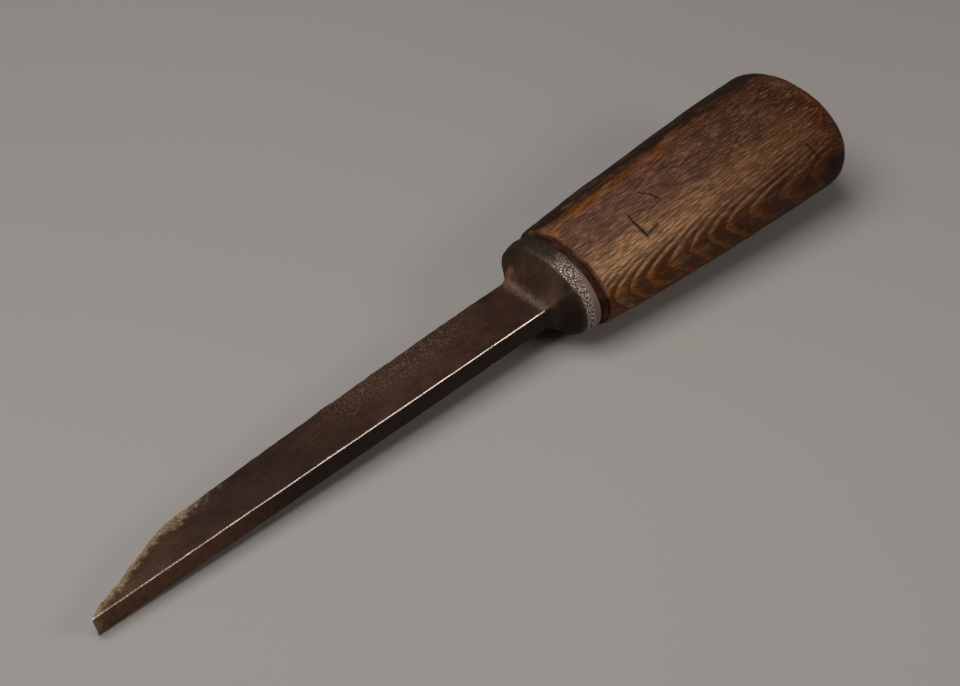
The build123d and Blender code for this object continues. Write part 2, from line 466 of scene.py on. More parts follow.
def back_arris(point):
    """How far a point is on the rubbed corner between the back and a side."""
    radius = back_radius(point.x)
    on_corner = 1 - smooth_step(point.y - BACK, radius + 0.03, radius + 0.11)
    outer = smooth_step(abs(point.z), half_width(0) - radius - 0.11, half_width(0) - radius - 0.03)
    rubbed_and_lit = 1.2 if point.z > 0 else 0.55
    return rubbed_and_lit * on_corner * outer * (1 - smooth_step(point.x, BLADE_LENGTH - 2.5, BLADE_LENGTH - 1))


def iron_grime(point, normal):
    """Old oil and dust along the bevel and the heel."""
    to_bevel = BACK + blade_depth(point.x) - point.y
    on_bevel = 1 - smooth_step(point.x, BEVEL_LENGTH + 2, BEVEL_LENGTH + 30)
    reach = 4.2 + 2.2 * bump_at(point.x, BEVEL_LENGTH + 4, 9)
    band = 0.95 * (1 - smooth_step(to_bevel, 0.1, reach)) * on_bevel
    back = 0.3 * smooth_step(-normal.y, 0.5, 0.9) * (1 - smooth_step(point.x, 4, 30))
    return max(band, back)


def iron_rust_and_highlight(point, normal):
    """Faint orange rust along the back, and a painted orange highlight at the foot of the bolster on the
    bevel side, where its crease catches the light.
    """
    foot = bump_at(point.x, 174.3, 1.6) * bump_at(point.y, 9.8, 2.2) * smooth_step(point.z, 1, 4)
    back = 0.5 * smooth_step(-normal.y, 0.5, 0.9) * (1 - smooth_step(point.x, 40, 95))
    return max(foot, back)


def iron_scale_and_shade(point, normal):
    """Black scale where nothing rubs, and painted shade on the faces turned from the light and underneath:
    the back, the bolster's ends, its bevel side and lobes, the rim's bevel side, and the undersides.
    """
    back = 0.85 * smooth_step(-normal.y, 0.5, 0.9) * smooth_step(point.x, 20, 110)
    on_bolster = smooth_step(point.x, BLADE_LENGTH, BLADE_LENGTH + 3)
    before_rim = 1 - smooth_step(point.x, RIM_START - 0.5, RIM_START + 1.5)
    end = smooth_step(-normal.y, 0.25, 0.6) * on_bolster * before_rim
    bevel_side = smooth_step(point.y, 4, 11) * on_bolster
    lobe = smooth_step(normal.y, 0.3, 0.6) * on_bolster
    rim = smooth_step(point.x, RIM_START, RIM_START + 2) * smooth_step(point.y, -8, 2)
    return max(back, end, 0.85 * bevel_side, lobe, rim, 0.8 * smooth_step(-normal.z, 0.2, 0.7))


def iron_rubbed(point, normal):
    """Smooth grey metal along the rim behind the punched band, and faintly round the root."""
    rim = smooth_step(point.x, RIM_START + 1.5, RIM_ROUND_END) * smooth_step(-point.y, 5, 13)
    reach = 1.6 + 0.1 * (point.y + 9)
    root = bump_at(point.x, 171.6, reach) * smooth_step(normal.z, 0.5, 0.8)
    return max(rim, 0.5 * root)


def rim_stipple_and_glint(point, normal):
    """Punched texture on the front of the rim, which fades out towards the bevel side; it is painted
    stronger towards the back, a painted highlight where the grains catch the light.
    """
    lean = RIM_LEAN * smooth_step(-point.y, 4, 20)
    share = (point.x - RIM_START - lean) / (RIM_ROUND_END - RIM_START - lean)
    far = 1.5 - 0.5 * smooth_step(-point.y, 8, 19)
    band = smooth_step(share, -0.02, 0.06) * (1 - smooth_step(share, far - 0.35, far))
    # The last factor is painted highlight: brighter grains towards the back of the rim, where they catch
    # the light
    return band * (0.05 + 0.95 * smooth_step(-point.y, 0, 8)) * (0.7 + 0.3 * smooth_step(-point.y, 8, 15))


def build_steel():
    """Laid steel along the back, from the cutting edge to its scarfed end."""
    stations = [0.12, 0.3, 0.6] + spread(1.0, 20, 0.3) + spread(20, STEEL_END - 0.4, 0.5)[1:]
    rings = []
    for x in stations:
        far = min(blade_depth(x), iron_near(x))
        rings.append(bar_ring(x, 0.0, max(far, 0.05), (back_radius(x), back_radius(x), 0.02, 0.02)))
    piece = rings_to_mesh("laid_steel_edge", rings)
    paint(piece, "bare", steel_bare)
    wear_blade(piece)
    nick_edge(piece)
    paint(piece, "rust", lambda point, normal: 0.2 * (1 - smooth_step(point.x, 20, 60)))
    paint(piece, "grime", iron_grime)
    paint(piece, "amber", iron_rust_and_highlight)
    paint(piece, "black", iron_scale_and_shade)
    finish_piece(piece, patina("laid_steel_patina"), "laid_steel", "laid_steel", sharp=34)


def steel_bare(point, normal):
    """Bright steel on the honed bevel and along the rubbed corners."""
    honed = 0.2 * (1 - smooth_step(point.x, 2, 7)) * smooth_step(normal.y, 0.3, 0.7)
    return max(honed, back_arris(point))


# ---------------------------------------------------------------- washer

WASHER_POINTS = 240


def build_washer():
    """Leather ring, squeezed so that its edge bulges and has crept unevenly."""
    half_depth = washer_high.y
    half_side = washer_high.z
    turns = [2 * pi * i / WASHER_POINTS for i in range(WASHER_POINTS)]
    thickness = HANDLE_START - SHOULDER

    def outer(share, drop):
        x = SHOULDER + thickness * share
        ring = []
        for turn in turns:
            spot = Vector((0, cos(turn) * 20, sin(turn) * 14))
            creep = 0.6 * rough(spot, 8, 3, seed=11) - 0.5
            frays = 0.25 * rough(spot + Vector((x * 2, 0, 0)), 1.5, 2, seed=3)
            inward = drop - min(0, creep + frays)
            y = (half_depth - inward) * cos(turn)
            z = (half_side - inward) * sin(turn)
            ring.append(Vector((x, y, z)))
        return ring

    hole = TANG_HALF + WASHER_HOLE_GAP
    near_profile = [(0.0, 0.7), (0.06, 0.3), (0.2, 0.08), (0.4, 0.0)]
    far_profile = [(0.6, 0.05), (0.8, 0.02), (0.94, 0.25), (1.0, 0.6)]
    rings = [square_ring(SHOULDER, hole, turns)]
    rings += [outer(share, drop) for share, drop in near_profile + far_profile]
    rings.append(square_ring(HANDLE_START, hole, turns))
    piece = rings_to_mesh("leather_washer_ring", rings, closed=True)
    finish_piece(piece, leather(), "washer_leather", "leather_washer", sharp=50)


# ---------------------------------------------------------------- handle

HANDLE_POINTS = 264
BUTT_RINGS = 40
CUT_STEP = 0.13
PLAIN_STEP = 0.5

# The handle's section is a little squarer than an ellipse
SECTION_POWER = 2 / 2.15

# Knife cuts and splits on the upper side: start and end along and across, depth, half width
CUTS = (
    ((211.3, -5.6), (210.8, -8.4), 0.2, 0.2),
    ((210.8, -8.4), (211.1, -14.2), 0.5, 0.32),
    ((211.1, -14.2), (216.6, -13.2), 0.2, 0.22),
    ((220.9, -1.0), (222.6, -3.6), 0.2, 0.18),
    ((222.6, -3.6), (223.6, -7.2), 0.2, 0.2),
    ((278.8, -19.6), (280.6, -23.4), 0.2, 0.22),
)

# Dents on the upper side: place along and across, radius along and across, depth
DENTS = (
    ((273.4, -0.2), (2.6, 1.1), 0.28),
    ((275.2, -3.9), (2.2, 0.8), 0.22),
    ((276.4, -7.2), (1.8, 0.8), 0.22),
    ((281.5, -12.6), (1.4, 1.0), 0.25),
    ((264.7, -5.6), (2.0, 0.9), 0.2),
    ((258.0, 2.0), (2.4, 1.0), 0.2),
    ((258.3, -8.1), (1.0, 0.8), 0.25),
    ((234.0, 8.0), (3.0, 1.2), 0.25),
    ((247.0, 10.5), (3.5, 1.4), 0.3),
    ((289.5, 3.0), (2.4, 2.0), 0.3),
)


def handle_half_depth(x):
    """Half of the handle's long axis at a station."""
    back_half = handle_high.y
    if x <= BUTT_START:
        share = (x - HANDLE_START) / (BUTT_START - HANDLE_START)
        straight = HANDLE_FRONT_HALF + (back_half - HANDLE_FRONT_HALF) * share
        return straight + 4 * HANDLE_BOW * share * (1 - share)
    share = min(1.0, (x - BUTT_START) / BUTT_LENGTH)
    return back_half * (1 - share**BUTT_FULLNESS) ** (1 / BUTT_FULLNESS)


def handle_ring(x, half, turns):
    """Oval section of the handle."""
    ring = []
    for turn in turns:
        c = cos(turn)
        s = sin(turn)
        y = half * abs(c) ** SECTION_POWER * (1 if c > 0 else -1)
        z = half / HANDLE_OVAL * abs(s) ** SECTION_POWER * (1 if s > 0 else -1)
        ring.append(Vector((x, y, z)))
    return ring


def cut_mark(point):
    """Depth of the deepest cut at a point, and how near it is to one, from 0 to 1."""
    depth = 0.0
    nearness = 0.0
    if point.z < 0:
        return depth, nearness
    spot = Vector((point.x, point.y))
    for start, end, deep, width in CUTS:
        run = Vector(end) - Vector(start)
        away = spot - Vector(start)
        share = min(1.0, max(0.0, away.dot(run) / run.length_squared))
        gap = (away - run * share).length
        depth = max(depth, deep * bump_at(gap, 0, width))
        nearness = max(nearness, bump_at(gap, 0, 1.6 * width))
    return depth, nearness


def dent_mark(point):
    """Depth of the dents at a point, and how near it is to one, from 0 to 1."""
    depth = 0.0
    nearness = 0.0
    if point.z < 0:
        return depth, nearness
    for (x, y), (along, across), deep in DENTS:
        close = bump_at(point.x, x, along) * bump_at(point.y, y, across)
        depth += deep * close
        nearness = max(nearness, close)
    return depth, nearness


def growth(point):
    """How many growth layers lie between a point and the middle of the handle.

    The layers bend round the back of the tool, so they come out there as blunt arches.
    """
    run_out = GRAIN_RUN_OUT * (point.x - HANDLE_START)
    bend = RING_SLOPE * (hypot(point.z + 1.0, RING_CURVE) - RING_CURVE)
    sway = 0.9 * noise.noise(Vector((point.x / 34, point.z / 30, point.y / 60)))
    return (run_out + bend + sway - point.y) / GROWTH_LAYER


def handle_stations():
    """Rings along the handle, closer together where there is a cut."""
    stations = [HANDLE_START + 0.8]
    while stations[-1] < BUTT_START:
        x = stations[-1]
        near_cut = any(min(a[0], b[0]) - 0.9 < x < max(a[0], b[0]) + 0.9 for a, b, *_ in CUTS)
        stations.append(x + (CUT_STEP if near_cut else PLAIN_STEP))
    stations[-1] = BUTT_START
    return stations


def build_handle():
    """Oval hardwood handle with a rounded butt and a tapered hole for the tang."""
    turns = [2 * pi * (i + 0.5) / HANDLE_POINTS for i in range(HANDLE_POINTS)]
    hole_end = TANG_END + TANG_END_GAP
    rings = [square_ring(hole_end, TANG_TIP_HALF, turns), square_ring(TANG_END, TANG_TIP_HALF, turns)]
    rings.append(square_ring(HANDLE_START, TANG_HALF, turns))
    for back, drop in ((0.0, 0.8), (0.12, 0.35), (0.35, 0.1)):
        ring = handle_ring(HANDLE_START + back, handle_half_depth(HANDLE_START + back), turns)
        for point in ring:
            chewed = 1 + 1.3 * max(0.0, rough((0, point.y, point.z), 3.5, 3, seed=14))
            point.yz *= 1 - drop * chewed / hypot(point.y, point.z)
        rings.append(ring)
    rings += [handle_ring(x, handle_half_depth(x), turns) for x in handle_stations()]
    for step in range(1, BUTT_RINGS):
        x = BUTT_START + BUTT_LENGTH * sin(0.5 * pi * step / BUTT_RINGS) ** 1.15
        rings.append(handle_ring(x, handle_half_depth(x), turns))
    rings.append(handle_ring(HANDLE_END - 0.02, 1.2, turns))
    piece = rings_to_mesh("oval_wooden_handle", rings)

    def rule(point, normal):
        inside = hypot(point.y, point.z) < 9 and point.x < TANG_END + 5
        if inside:
            return 0.0
        waves = 0.2 * rough(point, 24, 2) + 0.07 * rough((point.x / 3, point.y, point.z), 5, 2, seed=8)
        fibres = 0.03 * rough((point.x / 9, point.y, point.z), 1.0, 2, seed=18)
        ridge = 0.14 * sin(2 * pi * growth(point)) * smooth_step(abs(normal.y), 0.62, 0.9)
        ridge *= 1 - smooth_step(point.x, BUTT_START - 8, BUTT_START)
        knocks = 0.35 * max(0.0, rough(point, 7, 2, seed=30) - 0.3)
        knocks *= smooth_step(point.x, BUTT_START - 12, BUTT_START)
        return waves + fibres + ridge - knocks - cut_mark(point)[0] - dent_mark(point)[0] - 0.25

    push_out(piece, rule)
    paint(piece, "layers", lambda point, normal: growth(point))
    paint(piece, "cut", lambda point, normal: cut_mark(point)[1])
    paint(piece, "dent", lambda point, normal: dent_mark(point)[1])
    paint(piece, "oil_and_shade", wood_oil_and_shade)
    paint(piece, "amber", wood_amber)
    paint(piece, "handled_and_sheen", wood_bloom_and_sheen)
    paint(piece, "rubbed_and_lit", wood_lit_shoulder)
    paint(piece, "flank", lambda point, normal: smooth_step(abs(normal.y), 0.3, 0.85))
    finish_piece(piece, worn_wood(), "handle_wood", "handle", sharp=60)


def wood_oil_and_shade(point, normal):
    """Black-brown oil build-up along the bevel side and under the butt, partly painted shade: the bevel
    side is turned from the light, and the undersides and the wood against the washer are darkened as
    painted shade.
    """
    side = smooth_step(normal.y, 0.02, 0.5)
    butt = smooth_step(point.x, 266, 290) * smooth_step(-normal.y - 0.5 * normal.z, 0.3, 1.0)
    end = 0.8 * smooth_step(point.x, 286, 297) * (1 - smooth_step(normal.z, -0.2, 0.4))
    below = 0.6 * smooth_step(-normal.z, 0.35, 0.9)
    front = 0.8 * (1 - smooth_step(point.x, HANDLE_START, HANDLE_START + 1.4))
    return max(side, butt, end, below, front)


def wood_amber(point, normal):
    """Clear orange-brown wood, where the grey surface has rubbed or flaked away."""
    strip = 0.9 * bump_at(normal.y, 0.3, 0.22) * (1 - 0.4 * smooth_step(point.x, 230, 275))
    flank = 0.85 * smooth_step(-normal.y, 0.6, 0.95)
    front = 0.9 * bump_at(point.x, 190, 7) * smooth_step(-normal.y, 0.5, 0.85)
    chip = smooth_step(point.x, 282, 290) * bump_at(normal.y, -0.45, 0.35) * smooth_step(normal.z, 0.1, 0.4)
    end = 0.9 * smooth_step(point.x, 288, 294) * smooth_step(normal.x, 0.2, 0.6)
    butt = end * smooth_step(normal.z, 0.0, 0.4)
    return max(strip, flank, front, chip, butt)


def wood_lit_shoulder(point, normal):
    """Pale tan along the shoulder above the back: a painted band of light where that shoulder faces the
    light.
    """
    across = bump_at(normal.y, -0.56, 0.16) * smooth_step(normal.z, 0.2, 0.6)
    return 0.8 * across * (1 - 0.8 * smooth_step(point.x, 215, 262))


def wood_bloom_and_sheen(point, normal):
    """Grey-brown bloom on the upper side, from hands, with a painted sheen greying the top where it faces
    the light.
    """
    across = 1 - smooth_step(abs(normal.y - 0.06), 0.08, 0.62)
    return across * smooth_step(normal.z, 0.2, 0.9) * (1 - 0.6 * smooth_step(point.x, 284, 293))


# ---------------------------------------------------------------- materials


def colour(text):
    """Linear colour from an sRGB hex value."""
    channels = [int(text[i : i + 2], 16) / 255 for i in (0, 2, 4)]
    linear = [c / 12.92 if c <= 0.04045 else ((c + 0.055) / 1.055) ** 2.4 for c in channels]
    return (*linear, 1.0)


def add(tree, kind, inputs=None, stops=None, **settings):
    """Adds a node with its settings, its input values or links, and any ramp stops.

    Inputs go by name or by number. A colour Mix has its factor at 0 and its colours
    at 6 and 7; a MapRange has its value at 0, from at 1 and 2, and to at 3 and 4.
    """
    node = tree.nodes.new("ShaderNode" + kind)
    for name, value in settings.items():
        setattr(node, name, value)
    for key, value in (inputs or {}).items():
        if isinstance(value, bpy.types.Node):
            value = next(socket for socket in value.outputs if socket.enabled)
        if isinstance(value, bpy.types.NodeSocket):
            tree.links.new(value, node.inputs[key])
        else:
            node.inputs[key].default_value = value
    if stops:
        elements = node.color_ramp.elements
        while len(elements) < len(stops):
            elements.new(0.5)
        for element, (place, shade) in zip(elements, stops):
            element.position = place
            element.color = colour(shade) if isinstance(shade, str) else (shade, shade, shade, 1)
    return node


def new_material(name):
    """Material with an empty node tree."""
    material = bpy.data.materials.new(name)
    material.use_nodes = True
    material.node_tree.nodes.clear()
    return material, material.node_tree


def tool_axes(tree, stretch=(1, 1, 1)):
    """Position along the tool's own axes in millimetres, stretched along the grain."""
    place = add(tree, "TexCoord").outputs["Object"]
    lie = {"Vector": place, "Location": LAY.translation, "Rotation": (0, -TILT, 0), "Scale": (MM, MM, MM)}
    axes = add(tree, "Mapping", lie, vector_type="TEXTURE")
    return add(tree, "Mapping", {"Vector": axes, "Scale": stretch})


def broken_edge(tree, mask, noise_value, reach, low, high):
    """Turns a soft painted mask into one with a ragged edge."""
    shifted = add(tree, "Math", {0: noise_value, 1: reach, 2: -reach / 2}, operation="MULTIPLY_ADD")
    total = add(tree, "Math", {0: mask, 1: shifted}, operation="ADD")
    return add(tree, "MapRange", {0: total, 1: low, 2: high}, interpolation_type="SMOOTHSTEP")


def patina(name):
    """Wrought iron and tool steel, ground long ago and handled since: a thin brown
    oxide skin that is semi-matt, with fine scratches along the length, rust
    freckles, yellowish grime, black scale, and bright bare metal where edges rub.
    Painted shade darkens the faces turned from the light and the undersides, and
    painted highlights lighten the slope of the bolster, the foot of its bevel side
    and the punched rim towards the back."""
    material, tree = new_material(name)
    axes = tool_axes(tree)
    along = add(tree, "SeparateXYZ", {"Vector": axes})
    blotches = add(tree, "TexNoise", {"Vector": axes, "Scale": 0.1, "Detail": 6, "Roughness": 0.62})
    clouds = add(tree, "TexNoise", {"Vector": tool_axes(tree, (0.5, 1, 1)), "Scale": 0.4, "Detail": 6})
    lumps = add(tree, "TexNoise", {"Vector": axes, "Scale": 0.5, "Detail": 5, "Roughness": 0.6})
    freckles = add(tree, "TexNoise", {"Vector": axes, "Scale": 1.3, "Detail": 6, "Roughness": 0.75})
    hairlines = add(tree, "TexNoise", {"Vector": tool_axes(tree, (0.03, 1, 1)), "Scale": 3.2, "Detail": 3})
    skin_stops = [(0.3, "482b20"), (0.46, "583a2b"), (0.6, "634230"), (0.74, "6e4e32")]
    skin = add(tree, "ValToRGB", {"Fac": blotches}, stops=skin_stops)

    # The skin is darker along the middle of the blade than near its tip; the slope up to the rim is painted
    # lighter and greyer, a painted highlight where that slope faces the light
    length = add(tree, "Math", {0: along, 1: SHOULDER}, operation="DIVIDE")
    tip_half = [(0.0, 0.8), (0.2, 0.5), (0.45, 0.36), (0.6, 0.66)]
    root_half_with_highlight = [(0.75, 0.62), (0.9, 0.45), (0.93, "e6fcff"), (0.97, "e8ffff")]
    shade = add(tree, "ValToRGB", {"Fac": length}, stops=tip_half + root_half_with_highlight)
    skin = add(tree, "Mix", {0: 1.0, 6: skin, 7: shade}, data_type="RGBA", blend_type="MULTIPLY")
    cloudy = add(tree, "MapRange", {0: clouds, 1: 0.45, 2: 0.7, 3: 0.0, 4: 0.45})
    skin = add(tree, "Mix", {0: cloudy, 6: skin, 7: colour("25120e")}, data_type="RGBA")
    speckle = add(tree, "ValToRGB", {"Fac": freckles}, stops=[(0.34, 0.62), (0.6, 1.0)])
    skin = add(tree, "Mix", {0: 0.8, 6: skin, 7: speckle}, data_type="RGBA", blend_type="MULTIPLY")
    scratch = add(tree, "MapRange", {0: hairlines, 1: 0.6, 2: 0.75, 3: 0.0, 4: 0.16})
    skin = add(tree, "Mix", {0: scratch, 6: skin, 7: colour("8b7767")}, data_type="RGBA")

    grime = broken_edge(tree, add(tree, "Attribute", attribute_name="grime"), lumps, 1.9, 0.25, 1.0)
    grime_share = add(tree, "Math", {0: grime, 1: 0.8}, operation="MULTIPLY")
    grime_tone = add(tree, "ValToRGB", {"Fac": freckles}, stops=[(0.36, "6c5640"), (0.64, "c0a484")])
    skin = add(tree, "Mix", {0: grime_share, 6: skin, 7: grime_tone}, data_type="RGBA")
    # Black scale, together with painted shade on the faces turned from the light and on the undersides
    black = add(tree, "Attribute", attribute_name="black")
    scale_and_shade_share = add(tree, "Math", {0: black, 1: 0.92}, operation="MULTIPLY")
    skin = add(tree, "Mix", {0: scale_and_shade_share, 6: skin, 7: colour("190b04")}, data_type="RGBA")
    rubbed_and_lit = broken_edge(tree, add(tree, "Attribute", attribute_name="rubbed_and_lit"), freckles, 1.3, 0.2, 1.0)
    rubbed_share = add(tree, "Math", {0: rubbed_and_lit, 1: 0.75}, operation="MULTIPLY")
    skin = add(tree, "Mix", {0: rubbed_share, 6: skin, 7: colour("8a7564")}, data_type="RGBA")
    # Orange rust along the back, with a painted highlight at the foot of the bolster's bevel side
    amber = broken_edge(tree, add(tree, "Attribute", attribute_name="amber"), lumps, 0.6, 0.2, 0.9)
    rust_and_highlight_share = add(tree, "Math", {0: amber, 1: 0.7}, operation="MULTIPLY")
    skin = add(tree, "Mix", {0: rust_and_highlight_share, 6: skin, 7: colour("8a5632")}, data_type="RGBA")

    rust = add(tree, "Attribute", attribute_name="rust")
    rust_share = add(tree, "Math", {0: rust, 1: 0.35}, operation="MULTIPLY")
    skin = add(tree, "Mix", {0: rust_share, 6: skin, 7: colour("3a2a20")}, data_type="RGBA")
    speck = add(tree, "ValToRGB", {"Fac": freckles}, stops=[(0.5, 0.0), (0.66, 1.0)])
    specks = add(tree, "Math", {0: speck, 1: rust}, operation="MULTIPLY")
    speck_share = add(tree, "Math", {0: specks, 1: 0.7}, operation="MULTIPLY")
    skin = add(tree, "Mix", {0: speck_share, 6: skin, 7: colour("8a7058")}, data_type="RGBA")

    # Bare metal: rubbed edges, and the tops of the punched grains round the rim
    worn = broken_edge(tree, add(tree, "Attribute", attribute_name="bare"), freckles, 0.35, 0.35, 0.7)
    grains = add(tree, "TexVoronoi", {"Vector": axes, "Scale": STIPPLE_GRAINS})
    grain_tops = add(tree, "MapRange", {0: grains, 1: 0.5, 2: 0.27})
    # Punched grains, with painted highlight making them brighter towards the back of the rim
    stipple_and_glint = add(tree, "Attribute", attribute_name="stipple_and_glint")
    glints = add(tree, "Math", {0: grain_tops, 1: stipple_and_glint}, operation="MULTIPLY")
    pit_share = add(tree, "Math", {0: stipple_and_glint, 1: 0.6}, operation="MULTIPLY")
    skin = add(tree, "Mix", {0: pit_share, 6: skin, 7: colour("64564a")}, data_type="RGBA")
    bright = add(tree, "Math", {0: worn, 1: glints}, operation="MAXIMUM")
    tone = add(tree, "Mix", {0: bright, 6: skin, 7: colour("e4dacf")}, data_type="RGBA")

    matt = add(tree, "MapRange", {0: hairlines, 3: 0.44, 4: 0.62})
    polish = add(tree, "MapRange", {0: bright, 3: 1.0, 4: 0.48})
    polished = add(tree, "Math", {0: matt, 1: polish}, operation="MULTIPLY")
    dulled = add(tree, "Math", {0: grime, 1: 0.15, 2: polished}, operation="MULTIPLY_ADD")
    roughness = add(tree, "Math", {0: black, 1: 0.22, 2: dulled}, operation="MULTIPLY_ADD")
    covered = add(tree, "MapRange", {0: black, 3: 0.35, 4: 0.0})
    metallic = add(tree, "Math", {0: covered, 1: bright}, operation="MAXIMUM")
    fine = add(tree, "Math", {0: hairlines, 1: 0.5, 2: freckles}, operation="MULTIPLY_ADD")
    pitted = add(tree, "Math", {0: specks, 1: -0.8, 2: fine}, operation="MULTIPLY_ADD")
    relief = add(tree, "Math", {0: glints, 1: 2.6, 2: pitted}, operation="MULTIPLY_ADD")
    bump = add(tree, "Bump", {"Strength": 0.5, "Distance": 0.00012, "Height": relief})
    look = {"Base Color": tone, "Roughness": roughness, "Metallic": metallic, "Normal": bump}
    look["Specular IOR Level"] = 0.25
    add(tree, "OutputMaterial", {"Surface": add(tree, "BsdfPrincipled", look)})
    return material


def leather():
    """Vegetable-tanned sole leather, pressed and blackened: matt, with a cracked edge."""
    material, tree = new_material("pressed_sole_leather")
    stain = add(tree, "TexNoise", {"Vector": tool_axes(tree), "Scale": 0.22, "Detail": 5})
    stain_stops = [(0.32, "1a0702"), (0.48, "381606"), (0.6, "44230e"), (0.72, "4a3a24")]
    shade = add(tree, "ValToRGB", {"Fac": stain}, stops=stain_stops)
    layers = add(tree, "TexNoise", {"Vector": tool_axes(tree, (2.5, 0.5, 0.5)), "Scale": 1.0, "Detail": 6})
    crack = add(tree, "ValToRGB", {"Fac": layers}, stops=[(0.4, 0.25), (0.55, 1.0)])
    tone = add(tree, "Mix", {0: 0.8, 6: shade, 7: crack}, data_type="RGBA", blend_type="MULTIPLY")
    bump = add(tree, "Bump", {"Strength": 0.8, "Distance": 0.0003, "Height": layers})
    look = {"Base Color": tone, "Roughness": 0.75, "Specular IOR Level": 0.2, "Normal": bump}
    add(tree, "OutputMaterial", {"Surface": add(tree, "BsdfPrincipled", look)})
    return material


def worn_wood():
    """Ring-porous hardwood such as ash, turned oval: open pores in straight lines on
    the quartered faces, arches on the flat-sawn flanks, dark from hands and oil.
    Painted shade darkens the side turned from the light and the undersides, a painted
    sheen greys the top, a painted band of light runs along the shoulder above the
    back, and the dents are painted lighter where they catch the light."""
    material, tree = new_material("hand_worn_ash")
    parts = add(tree, "SeparateXYZ", {"Vector": tool_axes(tree)})
    patchy = tool_axes(tree, (0.5, 1, 1))
    mottle = add(tree, "TexNoise", {"Vector": patchy, "Scale": 0.24, "Detail": 7, "Roughness": 0.66})
    fibrous = tool_axes(tree, (0.13, 1, 1))
    streaks = add(tree, "TexNoise", {"Vector": fibrous, "Scale": 2.2, "Detail": 4, "Roughness": 0.62})
    pores = add(tree, "TexNoise", {"Vector": fibrous, "Scale": 1.2, "Detail": 4, "Roughness": 0.7})

    layers = add(tree, "Attribute", attribute_name="layers")
    ragged = add(tree, "Math", {0: streaks, 1: 0.5, 2: layers}, operation="MULTIPLY_ADD")
    wander = add(tree, "Math", {0: mottle, 1: 1.1, 2: ragged}, operation="MULTIPLY_ADD")
    ring = add(tree, "Math", {0: wander}, operation="FRACT")
    ring_stops = [(0.0, 0.14), (0.14, 0.18), (0.3, 0.85), (0.36, 1.0), (0.5, 0.75), (0.8, 0.5), (1.0, 0.14)]
    ring_shade = add(tree, "ValToRGB", {"Fac": ring}, stops=ring_stops)
    flank = add(tree, "Attribute", attribute_name="flank")
    ring_share = add(tree, "MapRange", {0: flank, 3: 0.4, 4: 1.0})
    quartered = (0.85, 0.85, 0.85, 1)
    ring_shade = add(tree, "Mix", {0: ring_share, 6: quartered, 7: ring_shade}, data_type="RGBA")

    tone = add(tree, "Mix", {0: mottle, 6: colour("a06a44"), 7: colour("f0bc90")}, data_type="RGBA")
    # Grey-brown bloom from hands, and a painted sheen on the top
    bloom_and_sheen = add(tree, "Mix", {0: mottle, 6: colour("6a4032"), 7: colour("b88870")}, data_type="RGBA")
    handled_and_sheen = broken_edge(tree, add(tree, "Attribute", attribute_name="handled_and_sheen"), mottle, 1.6, 0.15, 0.95)
    tone = add(tree, "Mix", {0: handled_and_sheen, 6: tone, 7: bloom_and_sheen}, data_type="RGBA")
    # Painted light: a pale tan band along the shoulder above the back, where it faces the light
    rubbed_and_lit = broken_edge(tree, add(tree, "Attribute", attribute_name="rubbed_and_lit"), mottle, 1.2, 0.2, 1.1)
    tone = add(tree, "Mix", {0: rubbed_and_lit, 6: tone, 7: colour("f6be88")}, data_type="RGBA")
    amber = broken_edge(tree, add(tree, "Attribute", attribute_name="amber"), mottle, 2.0, 0.35, 1.0)
    amber_tone = add(tree, "Mix", {0: mottle, 6: colour("783808"), 7: colour("d08028")}, data_type="RGBA")
    tone = add(tree, "Mix", {0: amber, 6: tone, 7: amber_tone}, data_type="RGBA")
    reach = {0: parts, 1: HANDLE_START + 15, 2: HANDLE_END - 12, 3: 0.0, 4: 0.95}
    toward_butt = add(tree, "MapRange", reach)
    deeper = {0: toward_butt, 6: tone, 7: colour("9a7a58")}
    tone = add(tree, "Mix", deeper, data_type="RGBA", blend_type="MULTIPLY")
    # Oil stain and painted shade, darkest on the side turned from the light, underneath and against the
    # washer
    oil_and_shade = broken_edge(tree, add(tree, "Attribute", attribute_name="oil_and_shade"), mottle, 1.7, 0.3, 0.95)
    oil_and_shade_tone = add(tree, "Mix", {0: mottle, 6: colour("120702"), 7: colour("401f0a")}, data_type="RGBA")
    tone = add(tree, "Mix", {0: oil_and_shade, 6: tone, 7: oil_and_shade_tone}, data_type="RGBA")

    pore_shade = add(tree, "ValToRGB", {"Fac": pores}, stops=[(0.38, 0.3), (0.53, 1.0)])
    streak_shade = add(tree, "ValToRGB", {"Fac": streaks}, stops=[(0.36, 0.45), (0.54, 1.0)])
    fibres = add(tree, "Math", {0: pore_shade, 1: streak_shade}, operation="MULTIPLY")
    grain = add(tree, "Math", {0: fibres, 1: ring_shade}, operation="MULTIPLY")
    clear = add(tree, "MapRange", {0: oil_and_shade, 3: 0.92, 4: 0.4})
    tone = add(tree, "Mix", {0: clear, 6: tone, 7: grain}, data_type="RGBA", blend_type="MULTIPLY")
    fleck = add(tree, "ValToRGB", {"Fac": streaks}, stops=[(0.56, 0.0), (0.7, 1.0)])
    free_of_oil_and_shade = add(tree, "MapRange", {0: oil_and_shade, 3: 0.6, 4: 0.0})
    flat = add(tree, "MapRange", {0: flank, 3: 1.0, 4: 0.15})
    fleck_part = add(tree, "Math", {0: fleck, 1: free_of_oil_and_shade}, operation="MULTIPLY")
    fleck_share = add(tree, "Math", {0: fleck_part, 1: flat}, operation="MULTIPLY")
    tone = add(tree, "Mix", {0: fleck_share, 6: tone, 7: colour("b98a64")}, data_type="RGBA")
    # The dents are painted lighter: a painted highlight where they catch the light
    dent = add(tree, "Attribute", attribute_name="dent")
    dent_highlight_share = add(tree, "Math", {0: dent, 1: 0.15}, operation="MULTIPLY")
    tone = add(tree, "Mix", {0: dent_highlight_share, 6: tone, 7: colour("c09a80")}, data_type="RGBA")
    cut = add(tree, "Attribute", attribute_name="cut")
    tone = add(tree, "Mix", {0: cut, 6: tone, 7: colour("0e0703")}, data_type="RGBA")

